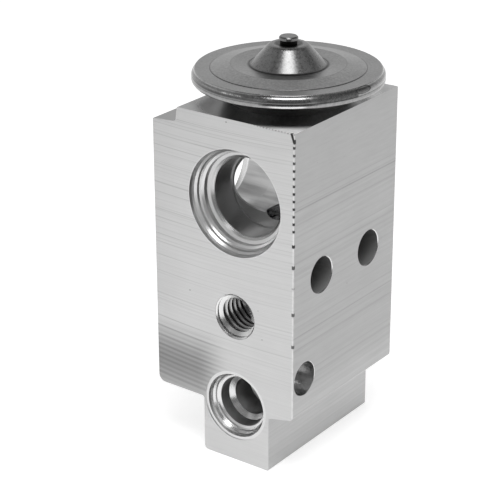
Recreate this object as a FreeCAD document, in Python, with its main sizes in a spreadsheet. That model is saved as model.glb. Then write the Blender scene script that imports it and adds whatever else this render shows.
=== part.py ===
import FreeCAD, Part
import os
import re
import Sketcher

# Right-angle block expansion valve, in millimetres.
# The origin is on the valve axis at the foot's lower face, +Z runs up the valve axis,
# the front face with its two ports looks along -Y and the evaporator side along -X.

SIZES = [
    # Block: an extruded profile, sawn to length along Y
    ("block_depth", 32.0),
    ("block_height", 65.0),
    ("left_side", 17.5),
    ("right_side", 12.5),
    ("foot_left", 7.05),
    ("foot_right", 7.3),
    ("foot_drop_left", 10.85),
    ("left_overhang_rise", 0.15),
    ("foot_drop_right", 10.75),
    ("right_overhang_rise", 1.05),
    ("ledge_width", 5.0),
    ("ledge_wall_lean", 0.4),
    ("ledge_drop", 3.0),
    ("ledge_rise", 0.35),
    ("foot_edge_radius", 0.9),
    ("foot_far_edge_radius", 0.3),
    ("foot_root_radius", 0.5),
    ("left_edge_radius", 1.4),
    ("right_edge_radius", 1.0),
    ("ledge_root_radius", 0.7),
    ("ledge_lip_radius", 0.15),
    ("ledge_top_radius", 0.12),
    # Suction passage: two bores that meet on the valve axis, with the same stepped mouth
    ("suction_height", 49.9),
    ("suction_front_radius", 7.2),
    ("suction_left_radius", 6.85),
    ("suction_front_mouth", 9.75),
    ("suction_left_mouth", 11.0),
    ("front_land_depth", 9.0),
    ("left_land_depth", 10.0),
    ("land_step", 0.25),
    ("suction_front_overrun", 5.0),
    ("suction_left_overrun", 6.0),
    ("large_lead_depth", 1.5),
    ("large_lead_drop", 0.57),
    ("large_cone_depth", 2.6),
    ("large_cone_drop", 1.3),
    ("large_wall_depth", 3.3),
    ("large_wall_drop", 1.45),
    ("large_shoulder_depth", 3.5),
    ("large_shoulder_drop", 2.0),
    ("large_mouth_depth", 4.05),
    ("cove_first_depth_share", 0.39),
    ("cove_first_drop_share", 0.17),
    ("cove_second_depth_share", 0.69),
    ("cove_second_drop_share", 0.455),
    # Liquid side: the inlet port in front and the feed port to the evaporator on the left
    ("liquid_height", 11.0),
    ("liquid_radius", 3.62),
    ("liquid_mouth", 6.12),
    ("liquid_bore_depth", 9.5),
    ("feed_height", 24.0),
    ("feed_radius", 4.6),
    ("feed_mouth", 7.1),
    ("feed_land_depth", 13.5),
    ("feed_overrun", 2.4),
    ("small_spot_margin", 0.58),
    ("small_spot_depth", 0.12),
    ("small_lead_depth", 1.45),
    ("small_lead_drop", 0.56),
    ("small_cone_depth", 2.14),
    ("small_cone_drop", 1.31),
    ("small_wall_depth", 4.1),
    ("small_wall_drop", 1.67),
    ("small_mouth_depth", 4.87),
    ("drill_tip_slope", 0.6),
    # Threaded clamp hole in the front face, bored to the thread's outer size (M8)
    ("clamp_height", 28.6),
    ("clamp_radius", 4.0),
    ("clamp_depth", 10.0),
    ("clamp_mouth", 4.29),
    # Two bolt holes along X and the shallow pin hole in the right face
    ("bolt_height", 36.9),
    ("bolt_spacing", 14.9),
    ("bolt_radius", 3.3),
    ("bolt_mouth", 3.43),
    ("pin_height", 18.75),
    ("pin_setback", 3.55),
    ("pin_radius", 3.15),
    ("pin_mouth", 3.21),
    ("pin_depth", 2.6),
    # Bores on the valve axis
    ("neck_radius", 9.0),
    ("thread_clearance", 0.05),
    ("element_bore_depth", 6.0),
    ("element_pocket_depth", 1.2),
    ("passage_radius", 2.6),
    ("retainer_bore", 3.75),
    ("retainer_seat", 41.1),
    ("gland_radius", 3.0),
    ("gland_floor", 39.0),
    ("chamber_radius", 5.4),
    ("chamber_top", 16.9),
    ("screw_bore_radius", 6.0),
    ("screw_bore_height", 4.45),
    ("screw_bore_chamfer", 0.4),
    ("seat_mouth_radius", 3.4),
    ("throat_radius", 1.9),
    # Power element
    ("sheet_thickness", 0.95),
    ("rim_rise", 4.25),
    ("cover_overhang", 0.3),
    ("bead_bulge", 0.6),
    ("bead_lap", 0.25),
    ("plate_flange_width", 2.65),
    ("plate_rise", 0.5),
    ("plate_step_width", 0.12),
    ("plate_crease_inset", 3.55),
    ("plate_crown", 0.25),
    ("plate_lip", 0.1),
    ("cone_foot_radius", 6.9),
    ("cone_root_radius", 6.5),
    ("cone_root_rise", 0.2),
    ("cone_top_radius", 3.45),
    ("cone_height", 3.7),
    ("cone_land_radius", 1.95),
    ("cone_land_rise", 0.1),
    ("cone_edge_radius", 1.1),
    ("charge_hole", 1.2),
    ("plug_shank_length", 1.2),
    ("plug_head_radius", 1.68),
    ("plug_neck_radius", 1.5),
    ("plug_neck_height", 0.5),
    ("plug_head_height", 0.75),
    ("plug_edge", 0.22),
    ("bowl_flange_width", 1.9),
    ("bowl_seat_width", 1.6),
    ("bowl_floor", 1.2),
    ("neck_wall", 1.6),
    ("neck_length", 5.9),
    ("neck_chamfer", 0.3),
    ("diaphragm_thickness", 0.15),
    ("diaphragm_inset", 0.1),
    ("dome_rise", 0.4),
    ("dome_margin", 0.2),
    ("dome_foot_inset", 2.7),
    ("ripple_height", 0.12),
    # Pad and rod
    ("running_clearance", 0.03),
    ("contact_clearance", 0.02),
    ("pad_top_radius", 8.0),
    ("pad_radius", 9.2),
    ("pad_side_gap", 0.7),
    ("pad_bevel", 0.83),
    ("pad_stop_gap", 0.55),
    ("pad_boss_gap", 0.5),
    ("pad_boss_length", 5.6),
    ("pad_boss_chamfer", 0.4),
    ("pad_socket_depth", 3.2),
    ("rod_radius", 1.2),
    ("rod_chamfer", 0.2),
    # Gland
    ("gland_seal_section", 0.88),
    ("gland_seal_lift", 0.95),
    ("retainer_thickness", 0.35),
    ("retainer_dish", 0.4),
    ("retainer_hole", 1.6),
    ("retainer_fit", 0.03),
    ("retainer_bend_radius", 2.4),
    ("retainer_slot_width", 0.7),
    ("retainer_slot_count", 8),
    # Ball, carrier and damper
    ("ball_radius", 3.0),
    ("seat_clearance", 0.03),
    ("cup_radius", 2.9),
    ("cup_floor_radius", 0.65),
    ("cup_rim", 0.4),
    ("carrier_flange_drop", 3.72),
    ("carrier_flange_radius", 4.8),
    ("carrier_flange_thickness", 1.1),
    ("spigot_radius", 2.3),
    ("spigot_length", 2.3),
    ("spigot_chamfer", 0.4),
    ("damper_thickness", 0.25),
    ("damper_leg_height", 3.4),
    ("damper_bow_height", 1.9),
    ("damper_bow", 0.2),
    ("damper_rub_gap", 0.1),
    ("damper_tip_gap", 0.25),
    ("damper_slot_width", 3.0),
    ("damper_slot_count", 6),
    # Spring and adjusting screw
    ("spring_radius", 2.9),
    ("wire_radius", 0.45),
    ("spring_turns", 4.75),
    ("spring_grind", 0.2),
    ("screw_setback", 1.2),
    ("screw_thread_length", 2.6),
    ("screw_length", 5.7),
    ("screw_nose_clearance", 0.07),
    ("screw_chamfer", 0.4),
    ("screw_cup_radius", 3.55),
    ("screw_cup_floor", 2.7),
    ("screw_groove_height", 3.7),
    ("screw_groove_width", 1.4),
    ("screw_seal_section", 0.62),
    ("hex_across_flats", 5.0),
    ("hex_depth", 1.9),
    # Element O-ring
    ("element_seal_section", 0.55),
    ("seal_gap", 0.02),
]

# Places worked out from the sizes above
FRONT = "(-block_depth / 2)"
LEFT = "(-left_side)"
THROAT = "(chamber_top + seat_mouth_radius - throat_radius)"
BALL = "(" + THROAT + " + throat_radius - (ball_radius + seat_clearance) * sqrt(2))"
BALL_TOP = "(" + BALL + " + ball_radius)"
FLANGE_TOP = "(" + BALL + " - carrier_flange_drop)"
SPRING_TOP = "(" + FLANGE_TOP + " - carrier_flange_thickness)"
SPRING_FOOT = "(screw_setback + screw_cup_floor)"
COVER_EDGE = "(block_depth / 2 + cover_overhang)"
PLATE_EDGE = "(" + COVER_EDGE + " - plate_flange_width)"
PLATE_CREASE = "(" + PLATE_EDGE + " - plate_crease_inset)"
BOWL_EDGE = "(" + COVER_EDGE + " - bowl_flange_width)"
DIAPHRAGM_EDGE = "(" + COVER_EDGE + " - diaphragm_inset)"
DOME_EDGE = "(pad_top_radius + dome_margin)"
DOME_FOOT = "(" + COVER_EDGE + " - dome_foot_inset)"
NECK_BORE = "(neck_radius - neck_wall)"
RIM = "(block_height + rim_rise)"
COVER_SEAT = "(" + RIM + " + diaphragm_thickness)"
COVER_TOP = "(" + COVER_SEAT + " + sheet_thickness)"
PLATE_TOP = "(" + COVER_TOP + " + plate_rise)"
CONE_SHOULDER = "(" + PLATE_TOP + " + cone_height)"
CONE_TOP = "(" + CONE_SHOULDER + " + cone_land_rise)"
DOME = "(" + RIM + " + dome_rise)"
PAD_TOP = "(" + DOME + " - contact_clearance)"
BOWL_FLOOR = "(block_height + bowl_floor)"
PAD_STOP = "(" + BOWL_FLOOR + " + pad_stop_gap)"
PAD_FOOT = "(" + PAD_STOP + " - pad_boss_length)"
ROD_TOP = "(" + PAD_FOOT + " + pad_socket_depth)"
ROD_FOOT = "(" + BALL_TOP + " + contact_clearance)"

doc = FreeCAD.newDocument("expansion_valve")
sheet = doc.addObject("Spreadsheet::Sheet", "sizes")
for row, (alias, number) in enumerate(SIZES, 1):
    sheet.set("A%d" % row, alias)
    sheet.set("B%d" % row, str(number))
    sheet.setAlias("B%d" % row, alias)
doc.recompute()

WORD = re.compile(r"[a-z][a-z_0-9]*")
FUNCTIONS = ("sqrt",)


def bound(expression):
    """The expression with every named size looked up in the sheet."""
    return WORD.sub(lambda m: m.group(0) if m.group(0) in FUNCTIONS else "sizes." + m.group(0),
                    expression)


def value(expression):
    """The expression's present value, used to draw a sketch near its solved form."""
    return float(sheet.evalExpression(expression))


def new_body(label):
    body = doc.addObject("PartDesign::Body", label)
    body.Label = label
    return body


def sketch_on(body, role, name, lift=None):
    """A sketch on one of the body's own origin planes, moved along the plane's normal."""
    sketch = body.newObject("Sketcher::SketchObject", name)
    plane = next(item for item in body.Origin.OriginFeatures if item.Role == role)
    sketch.AttachmentSupport = [(plane, "")]
    sketch.MapMode = "FlatFace"
    if lift:
        sketch.setExpression("AttachmentOffset.Base.z", bound(lift))
    return sketch


def pin_down(sketch, geometry, point, across, up):
    """Bind one point of the geometry to a pair of expressions."""
    for kind, expression in (("DistanceX", across), ("DistanceY", up)):
        constraint = Sketcher.Constraint(kind, -1, 1, geometry, point, value(expression))
        index = sketch.addConstraint(constraint)
        sketch.setExpression("Constraints[%d]" % index, bound(expression))


def outline(sketch, corners):
    """A closed outline of straight sides through the corners."""
    spots = [FreeCAD.Vector(value(across), value(up), 0) for across, up in corners]
    sides = range(len(spots))
    for side in sides:
        sketch.addGeometry(Part.LineSegment(spots[side], spots[(side + 1) % len(spots)]), False)
    for side in sides:
        following = (side + 1) % len(spots)
        sketch.addConstraint(Sketcher.Constraint("Coincident", side, 2, following, 1))
    for side in sides:
        pin_down(sketch, side, 1, *corners[side])


def circle(sketch, across, up, radius):
    centre = FreeCAD.Vector(value(across), value(up), 0)
    normal = FreeCAD.Vector(0, 0, 1)
    index = sketch.addGeometry(Part.Circle(centre, normal, value(radius)), False)
    pin_down(sketch, index, 3, across, up)
    constraint = sketch.addConstraint(Sketcher.Constraint("Radius", index, value(radius)))
    sketch.setExpression("Constraints[%d]" % constraint, bound(radius))


def revolve(body, kind, sketch, axis="V_Axis"):
    feature = body.newObject(kind, sketch.Name + "_turned")
    feature.Profile = sketch
    feature.ReferenceAxis = (sketch, [axis])
    feature.Angle = 360
    doc.recompute()
    return feature


def turned(label, corners):
    """A body of revolution about the valve axis, drawn as radius and height."""
    body = new_body(label)
    sketch = sketch_on(body, "XZ_Plane", label + "_section")
    outline(sketch, corners)
    revolve(body, "PartDesign::Revolution", sketch)
    return body


def o_ring(label, radius, height, section):
    """A ring of round section about the valve axis."""
    body = new_body(label)
    sketch = sketch_on(body, "XZ_Plane", label + "_section")
    circle(sketch, radius, height, section)
    revolve(body, "PartDesign::Revolution", sketch)
    return body


def must_remove(body, before, name):
    """A cut that points away from the solid removes nothing and shows no error."""
    if not body.Shape.Volume < before - 1e-6:
        raise RuntimeError(name + " removed nothing")


def dress(body, kind, name, edges, size_name, size):
    """A fillet or chamfer on the named edges of the body's tip."""
    base = body.Tip
    feature = body.newObject(kind, name)
    feature.Base = (base, edges)
    feature.setExpression(size_name, bound(size))
    doc.recompute()
    return feature


def edges_along_depth(body, spots):
    """Names of the straight edges along Y that pass through the given (x, z) spots."""
    wanted = [FreeCAD.Vector(value(across), 0, value(up)) for across, up in spots]
    names = []
    for number, edge in enumerate(body.Shape.Edges, 1):
        start, end = edge.Vertexes[0].Point, edge.Vertexes[-1].Point
        if abs(start.y - end.y) < value("block_depth") / 2:
            continue
        middle = (start + end) / 2
        if any((middle - spot).Length < 1e-4 for spot in wanted):
            names.append("Edge%d" % number)
    if len(names) != len(spots):
        raise RuntimeError("expected %d edges, found %s" % (len(spots), names))
    return names


def round_edges(body, rings):
    """Names of the round edges with the given radius and centre."""
    names = []
    for radius, centre in rings:
        middle = FreeCAD.Vector(*[value(part) for part in centre])
        for number, edge in enumerate(body.Shape.Edges, 1):
            curve = edge.Curve
            if (isinstance(curve, Part.Circle) and abs(curve.Radius - value(radius)) < 1e-4
                    and (curve.Center - middle).Length < 1e-4):
                names.append("Edge%d" % number)
    if len(names) != len(rings):
        raise RuntimeError("expected %d round edges, found %s" % (len(rings), names))
    return names


def port(body, name, role, face, height, steps):
    """A stepped port bored from a side face: steps are pairs of depth and radius."""
    sketch = sketch_on(body, role, name)
    corners = [(face, height)]
    corners += [("%s + %s" % (face, depth), "%s + %s" % (height, radius)) for depth, radius in steps]
    corners.append(("%s + %s" % (face, steps[-1][0]), height))
    if value(steps[-1][1]) == 0:
        corners.pop()
    outline(sketch, corners)
    before = body.Shape.Volume
    axis = Part.LineSegment(FreeCAD.Vector(value(face), value(height), 0), FreeCAD.Vector(0, value(height), 0))
    line = sketch.addGeometry(axis, True)
    sketch.addConstraint(Sketcher.Constraint("Horizontal", line))
    pin_down(sketch, line, 1, face, height)
    revolve(body, "PartDesign::Groove", sketch, "Axis0")
    must_remove(body, before, name)


def hole(body, name, role, lift, centres, radius, mouth, depth=None, angled=False):
    """Drilled holes with a broken edge: right through, or to a depth."""
    sketch = sketch_on(body, role, name + "_centres", lift)
    for across, up in centres:
        circle(sketch, across, up, radius)
    doc.recompute()
    before = body.Shape.Volume
    feature = body.newObject("PartDesign::Hole", name)
    feature.Profile = sketch
    doc.recompute()
    feature.ThreadType = "None"
    feature.HoleCutType = "Countersink"
    feature.HoleCutCustomValues = True
    feature.HoleCutCountersinkAngle = 90
    feature.setExpression("Diameter", bound("2 * " + radius))
    feature.setExpression("HoleCutDiameter", bound("2 * " + mouth))
    if depth:
        feature.DepthType = "Dimension"
        feature.setExpression("Depth", bound(depth))
        feature.DrillPoint = "Angled" if angled else "Flat"
        feature.DrillPointAngle = 118
    else:
        feature.DepthType = "ThroughAll"
    doc.recompute()
    must_remove(body, before, name)


def slots(body, name, height, inner, outer, width, count):
    """A ring of radial slots cut straight down through a thin part."""
    sketch = sketch_on(body, "XY_Plane", name + "_outline", height)
    outline(sketch, [(inner, "-%s / 2" % width), (outer, "-%s / 2" % width),
                     (outer, "%s / 2" % width), (inner, "%s / 2" % width)])
    before = body.Shape.Volume
    pocket = body.newObject("PartDesign::Pocket", name)
    pocket.Profile = sketch
    pocket.Type = "ThroughAll"
    doc.recompute()
    must_remove(body, before, name)
    pattern = body.newObject("PartDesign::PolarPattern", name + "_ring")
    pattern.Originals = [pocket]
    pattern.Axis = (sketch, ["N_Axis"])
    pattern.Angle = 360
    pattern.setExpression("Occurrences", bound(count))
    body.Tip = pattern
    doc.recompute()


# Stepped mouths shared by the two large and by the two small ports
def cove(start, end):
    """A hollow step: the two bends in its wall, and its end."""
    between = "(%s) + %s_share * ((%s) - (%s))"
    bends = []
    for place in ("cove_first", "cove_second"):
        depth = between % (start[0], place + "_depth", end[0], start[0])
        radius = between % (start[1], place + "_drop", end[1], start[1])
        bends.append((depth, radius))
    return bends + [end]


def large_mouth(mouth, radius):
    lip = ("0", mouth)
    lead = ("large_lead_depth", mouth + " - large_lead_drop")
    cone = ("large_cone_depth", mouth + " - large_cone_drop")
    return [lip] + cove(lip, lead) + cove(lead, cone) + [
        ("large_wall_depth", mouth + " - large_wall_drop"),
        ("large_shoulder_depth", mouth + " - large_shoulder_drop"),
        ("large_mouth_depth", radius)]


def small_mouth(mouth, radius):
    lip = ("small_spot_depth", mouth)
    lead = ("small_lead_depth", mouth + " - small_lead_drop")
    cone = ("small_cone_depth", mouth + " - small_cone_drop")
    return [("0", mouth + " + small_spot_margin"),
            ("small_spot_depth", mouth + " + small_spot_margin"),
            lip] + cove(lip, lead) + cove(lead, cone) + [
        ("small_wall_depth", mouth + " - small_wall_drop"),
        ("small_mouth_depth", radius)]


def beyond_land(land_depth, radius, end_depth):
    """The reamed land for the pipe's spigot, and the slightly smaller drilled passage behind it."""
    return [(land_depth, radius),
            (land_depth, radius + " - land_step"),
            (end_depth, radius + " - land_step")]


def make_valve_block():
    """The extruded profile with its ports, bolt holes and the bores on the valve axis."""
    body = new_body("valve_block")
    profile = sketch_on(body, "XZ_Plane", "block_profile")
    foot_left = ("-foot_left", "0")
    foot_right = ("foot_right", "0")
    root_right = ("foot_right", "foot_drop_right")
    edge_right = ("right_side", "foot_drop_right + right_overhang_rise")
    top_right = ("right_side", "block_height")
    ledge_top = ("-left_side + ledge_width + ledge_wall_lean", "block_height")
    ledge_root = ("-left_side + ledge_width", "block_height - ledge_drop + ledge_rise")
    ledge_lip = (LEFT, "block_height - ledge_drop")
    edge_left = (LEFT, "foot_drop_left + left_overhang_rise")
    root_left = ("-foot_left", "foot_drop_left")
    outline(profile, [foot_left, foot_right, root_right, edge_right, top_right,
                      ledge_top, ledge_root, ledge_lip, edge_left, root_left])
    pad = body.newObject("PartDesign::Pad", "block_length")
    pad.Profile = profile
    pad.SideType = "Symmetric"
    pad.setExpression("Length", bound("block_depth"))
    doc.recompute()
    rounds = [("foot_edge_radius", [foot_left]),
              ("foot_far_edge_radius", [foot_right]),
              ("foot_root_radius", [root_left, root_right]),
              ("left_edge_radius", [edge_left]),
              ("right_edge_radius", [edge_right]),
              ("ledge_root_radius", [ledge_root]),
              ("ledge_lip_radius", [ledge_lip]),
              ("ledge_top_radius", [ledge_top])]
    for radius, spots in rounds:
        edges = edges_along_depth(body, spots)
        dress(body, "PartDesign::Fillet", "round_" + radius, edges, "Radius", radius)

    port(body, "suction_port_front", "YZ_Plane", FRONT, "suction_height",
         large_mouth("suction_front_mouth", "suction_front_radius")
         + beyond_land("front_land_depth", "suction_front_radius",
                       "block_depth / 2 + suction_front_overrun"))
    port(body, "suction_port_left", "XZ_Plane", LEFT, "suction_height",
         large_mouth("suction_left_mouth", "suction_left_radius")
         + beyond_land("left_land_depth", "suction_left_radius", "left_side + suction_left_overrun"))
    port(body, "liquid_port", "YZ_Plane", FRONT, "liquid_height",
         small_mouth("liquid_mouth", "liquid_radius")
         + [("liquid_bore_depth", "liquid_radius"),
            ("liquid_bore_depth + drill_tip_slope * liquid_radius", "0")])
    port(body, "feed_port", "XZ_Plane", LEFT, "feed_height",
         small_mouth("feed_mouth", "feed_radius")
         + beyond_land("feed_land_depth", "feed_radius", "left_side + feed_overrun")
         + [("left_side + feed_overrun + drill_tip_slope * (feed_radius - land_step)", "0")])

    bores = sketch_on(body, "XZ_Plane", "axis_bores")
    pocket = "block_height - element_pocket_depth"
    bore_floor = "block_height - element_bore_depth"
    neck_bore = "neck_radius + thread_clearance"
    guide = "rod_radius + running_clearance"
    outline(bores, [
        ("0", "block_height"),
        ("neck_radius + 2 * element_seal_section + 2 * thread_clearance", "block_height"),
        ("neck_radius + 2 * element_seal_section + 2 * thread_clearance", pocket),
        (neck_bore, pocket),
        (neck_bore, bore_floor),
        ("passage_radius", bore_floor),
        ("passage_radius", "suction_height"),
        ("retainer_bore", "suction_height"),
        ("retainer_bore", "retainer_seat"),
        ("gland_radius", "retainer_seat"),
        ("gland_radius", "gland_floor"),
        (guide, "gland_floor"),
        (guide, "feed_height"),
        ("throat_radius", "feed_height"),
        ("throat_radius", THROAT),
        ("seat_mouth_radius", "chamber_top"),
        ("chamber_radius", "chamber_top"),
        ("chamber_radius", "screw_bore_height"),
        ("screw_bore_radius", "screw_bore_height"),
        ("screw_bore_radius", "screw_bore_chamfer"),
        ("screw_bore_radius + screw_bore_chamfer", "0"),
        ("0", "0")])
    before = body.Shape.Volume
    revolve(body, "PartDesign::Groove", bores)
    must_remove(body, before, "axis_bores")

    hole(body, "clamp_hole", "XZ_Plane", "block_depth / 2", [("0", "clamp_height")],
         "clamp_radius", "clamp_mouth", "clamp_depth", angled=True)
    hole(body, "bolt_holes", "YZ_Plane", "right_side",
         [("-bolt_spacing / 2", "bolt_height"), ("bolt_spacing / 2", "bolt_height")],
         "bolt_radius", "bolt_mouth")
    hole(body, "pin_hole", "YZ_Plane", "right_side",
         [(FRONT + " + pin_setback", "pin_height")], "pin_radius", "pin_mouth", "pin_depth")
    return body


def make_upper_cover():
    """Pressed sheet: flat flange, low crowned plate inside a crease, and the cone for the charge plug."""
    crown = "(" + PLATE_TOP + " + plate_crown)"
    root = "(" + PLATE_TOP + " + cone_root_rise)"
    lip = "(" + PLATE_EDGE + " - plate_step_width)"
    body = turned("upper_cover", [
        ("charge_hole", CONE_TOP),
        ("cone_land_radius", CONE_TOP),
        ("cone_top_radius", CONE_SHOULDER),
        ("cone_root_radius", root),
        ("cone_foot_radius", PLATE_TOP),
        (PLATE_CREASE, crown),
        (lip, COVER_TOP + " + plate_lip"),
        (PLATE_EDGE, COVER_TOP),
        (COVER_EDGE, COVER_TOP),
        (COVER_EDGE, COVER_SEAT),
        (PLATE_EDGE, COVER_SEAT),
        (PLATE_CREASE, crown + " - sheet_thickness"),
        ("cone_foot_radius", PLATE_TOP + " - sheet_thickness"),
        ("cone_root_radius - 0.76 * sheet_thickness", root + " - 0.65 * sheet_thickness"),
        ("cone_top_radius - 0.76 * sheet_thickness", CONE_SHOULDER + " - 0.65 * sheet_thickness"),
        ("charge_hole", CONE_TOP + " - sheet_thickness")])
    shoulder = round_edges(body, [("cone_top_radius", ("0", "0", CONE_SHOULDER))])
    dress(body, "PartDesign::Fillet", "cone_shoulder", shoulder, "Radius", "cone_edge_radius")
    return body


def make_lower_cover():
    """Pressed bowl that sits on the block, with the threaded neck below it."""
    neck_foot = "block_height - neck_length"
    return turned("lower_cover", [
        (NECK_BORE, neck_foot),
        ("neck_radius - neck_chamfer", neck_foot),
        ("neck_radius", neck_foot + " + neck_chamfer"),
        ("neck_radius", "block_height"),
        ("neck_radius + bowl_seat_width", "block_height"),
        (BOWL_EDGE, RIM + " - sheet_thickness"),
        (COVER_EDGE, RIM + " - sheet_thickness"),
        (COVER_EDGE, RIM),
        (BOWL_EDGE + " - 0.5 * sheet_thickness", RIM),
        ("pad_radius + pad_side_gap", BOWL_FLOOR),
        (NECK_BORE, BOWL_FLOOR)])


def make_weld_bead():
    """The weld round the rim: a bulged band that laps both covers."""
    body = new_body("weld_bead")
    sketch = sketch_on(body, "XZ_Plane", "bead_section")
    low = RIM + " - sheet_thickness - bead_lap"
    high = COVER_TOP
    middle = "(%s + %s) / 2" % (low, high)
    start = FreeCAD.Vector(value(COVER_EDGE), value(high), 0)
    end = FreeCAD.Vector(value(COVER_EDGE), value(low), 0)
    bulge = FreeCAD.Vector(value(COVER_EDGE + " + bead_bulge"), value(middle), 0)
    sketch.addGeometry(Part.LineSegment(start, end), False)
    sketch.addGeometry(Part.Arc(end, bulge, start), False)
    sketch.addConstraint(Sketcher.Constraint("Coincident", 0, 2, 1, 1))
    sketch.addConstraint(Sketcher.Constraint("Coincident", 1, 2, 0, 1))
    pin_down(sketch, 0, 1, COVER_EDGE, high)
    pin_down(sketch, 0, 2, COVER_EDGE, low)
    half = "((%s - (%s)) / 2)" % (high, low)
    radius = "(%s * %s + bead_bulge * bead_bulge) / (2 * bead_bulge)" % (half, half)
    index = sketch.addConstraint(Sketcher.Constraint("Radius", 1, value(radius)))
    sketch.setExpression("Constraints[%d]" % index, bound(radius))
    revolve(body, "PartDesign::Revolution", sketch)
    return body


def make_diaphragm():
    """Thin disc, domed as it stands with the valve shut, with two ripples round the dome."""
    def at(share, lift):
        radius = "%s + %s * (%s - %s)" % (DOME_EDGE, share, DOME_FOOT, DOME_EDGE)
        height = "%s + dome_rise * (1 - %s) + %s * ripple_height" % (RIM, share, lift)
        return radius, height
    under = [("0", DOME), (DOME_EDGE, DOME), at("0.2", "-0.5"), at("0.4", "1"),
             at("0.6", "-0.5"), at("0.8", "1"), (DOME_FOOT, RIM), (DIAPHRAGM_EDGE, RIM)]
    over = [(radius, height + " + diaphragm_thickness") for radius, height in reversed(under)]
    return turned("diaphragm", under + over)


def make_charge_plug():
    """Headed plug that closes the charging hole, welded on by its neck."""
    neck = "(" + CONE_TOP + " + contact_clearance)"
    head = "(" + neck + " + plug_neck_height)"
    shank = "charge_hole - contact_clearance"
    return turned("charge_plug", [
        ("0", CONE_TOP + " - plug_shank_length"),
        (shank, CONE_TOP + " - plug_shank_length"),
        (shank, neck),
        ("plug_neck_radius", neck),
        ("plug_neck_radius", head),
        ("plug_head_radius", head + " + 0.5 * plug_edge"),
        ("plug_head_radius", head + " + plug_head_height - plug_edge"),
        ("plug_head_radius - plug_edge", head + " + plug_head_height"),
        ("0", head + " + plug_head_height")])


def make_diaphragm_pad():
    """Stop disc under the diaphragm, with a boss that takes the rod."""
    boss = NECK_BORE + " - pad_boss_gap"
    return turned("diaphragm_pad", [
        ("0", PAD_TOP),
        ("pad_top_radius", PAD_TOP),
        ("pad_radius", PAD_TOP + " - pad_bevel"),
        ("pad_radius", PAD_STOP),
        (boss, PAD_STOP),
        (boss, PAD_FOOT + " + pad_boss_chamfer"),
        (boss + " - pad_boss_chamfer", PAD_FOOT),
        ("rod_radius + running_clearance", PAD_FOOT),
        ("rod_radius + running_clearance", ROD_TOP),
        ("0", ROD_TOP)])


def make_push_rod():
    return turned("push_rod", [
        ("0", ROD_FOOT),
        ("rod_radius - rod_chamfer", ROD_FOOT),
        ("rod_radius", ROD_FOOT + " + rod_chamfer"),
        ("rod_radius", ROD_TOP + " - rod_chamfer"),
        ("rod_radius - rod_chamfer", ROD_TOP),
        ("0", ROD_TOP)])


def make_seal_retainer():
    """Dished push-in ring, slotted round its edge, that holds the rod's seal down."""
    rim = "retainer_bore - retainer_fit"
    flat = "retainer_seat + retainer_dish"
    body = turned("seal_retainer", [
        (rim, "retainer_seat"),
        (rim, "retainer_seat + retainer_thickness"),
        ("retainer_bend_radius", flat + " + retainer_thickness"),
        ("retainer_hole", flat + " + retainer_thickness"),
        ("retainer_hole", flat),
        ("retainer_bend_radius", flat)])
    slots(body, "retainer_slots", flat + " + 2 * retainer_thickness", "retainer_bend_radius + 0.4",
          "retainer_bore + retainer_slot_width", "retainer_slot_width", "retainer_slot_count")
    return body


def make_valve_ball():
    ball = doc.addObject("Part::Sphere", "valve_ball")
    ball.Label = "valve_ball"
    ball.setExpression("Radius", bound("ball_radius"))
    ball.setExpression("Placement.Base.z", bound(BALL))
    return ball


def make_ball_carrier():
    """Cup under the ball, flange on the spring and spigot inside it."""
    cone = "%s - (ball_radius + contact_clearance) * sqrt(2)" % BALL
    rim = cone + " + cup_radius"
    spigot_foot = SPRING_TOP + " - spigot_length"
    return turned("ball_carrier", [
        ("0", cone + " + cup_floor_radius"),
        ("cup_floor_radius", cone + " + cup_floor_radius"),
        ("cup_radius", rim),
        ("cup_radius + cup_rim", rim),
        ("cup_radius + cup_rim", FLANGE_TOP),
        ("carrier_flange_radius", FLANGE_TOP),
        ("carrier_flange_radius", SPRING_TOP),
        ("spigot_radius", SPRING_TOP),
        ("spigot_radius", spigot_foot + " + spigot_chamfer"),
        ("spigot_radius - spigot_chamfer", spigot_foot),
        ("0", spigot_foot)])


def make_damper_spring():
    """Sheet collar on the carrier's flange, with bowed legs that rub on the chamber wall."""
    hole_radius = "cup_radius + cup_rim + contact_clearance"
    wall = "chamber_radius - damper_rub_gap"
    foot = wall + " - damper_bow"
    tip = "chamber_radius - damper_tip_gap"
    bow = FLANGE_TOP + " + damper_bow_height"
    top = FLANGE_TOP + " + damper_leg_height"
    body = turned("damper_spring", [
        (hole_radius, FLANGE_TOP),
        (foot, FLANGE_TOP),
        (wall, bow),
        (tip, top),
        (tip + " - damper_thickness", top),
        (wall + " - damper_thickness", bow),
        (foot + " - damper_thickness", FLANGE_TOP + " + damper_thickness"),
        (hole_radius, FLANGE_TOP + " + damper_thickness")])
    slots(body, "damper_slots", top + " + damper_thickness", "cup_radius + cup_rim + 0.7",
          "chamber_radius + damper_thickness", "damper_slot_width", "damper_slot_count")
    return body


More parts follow.
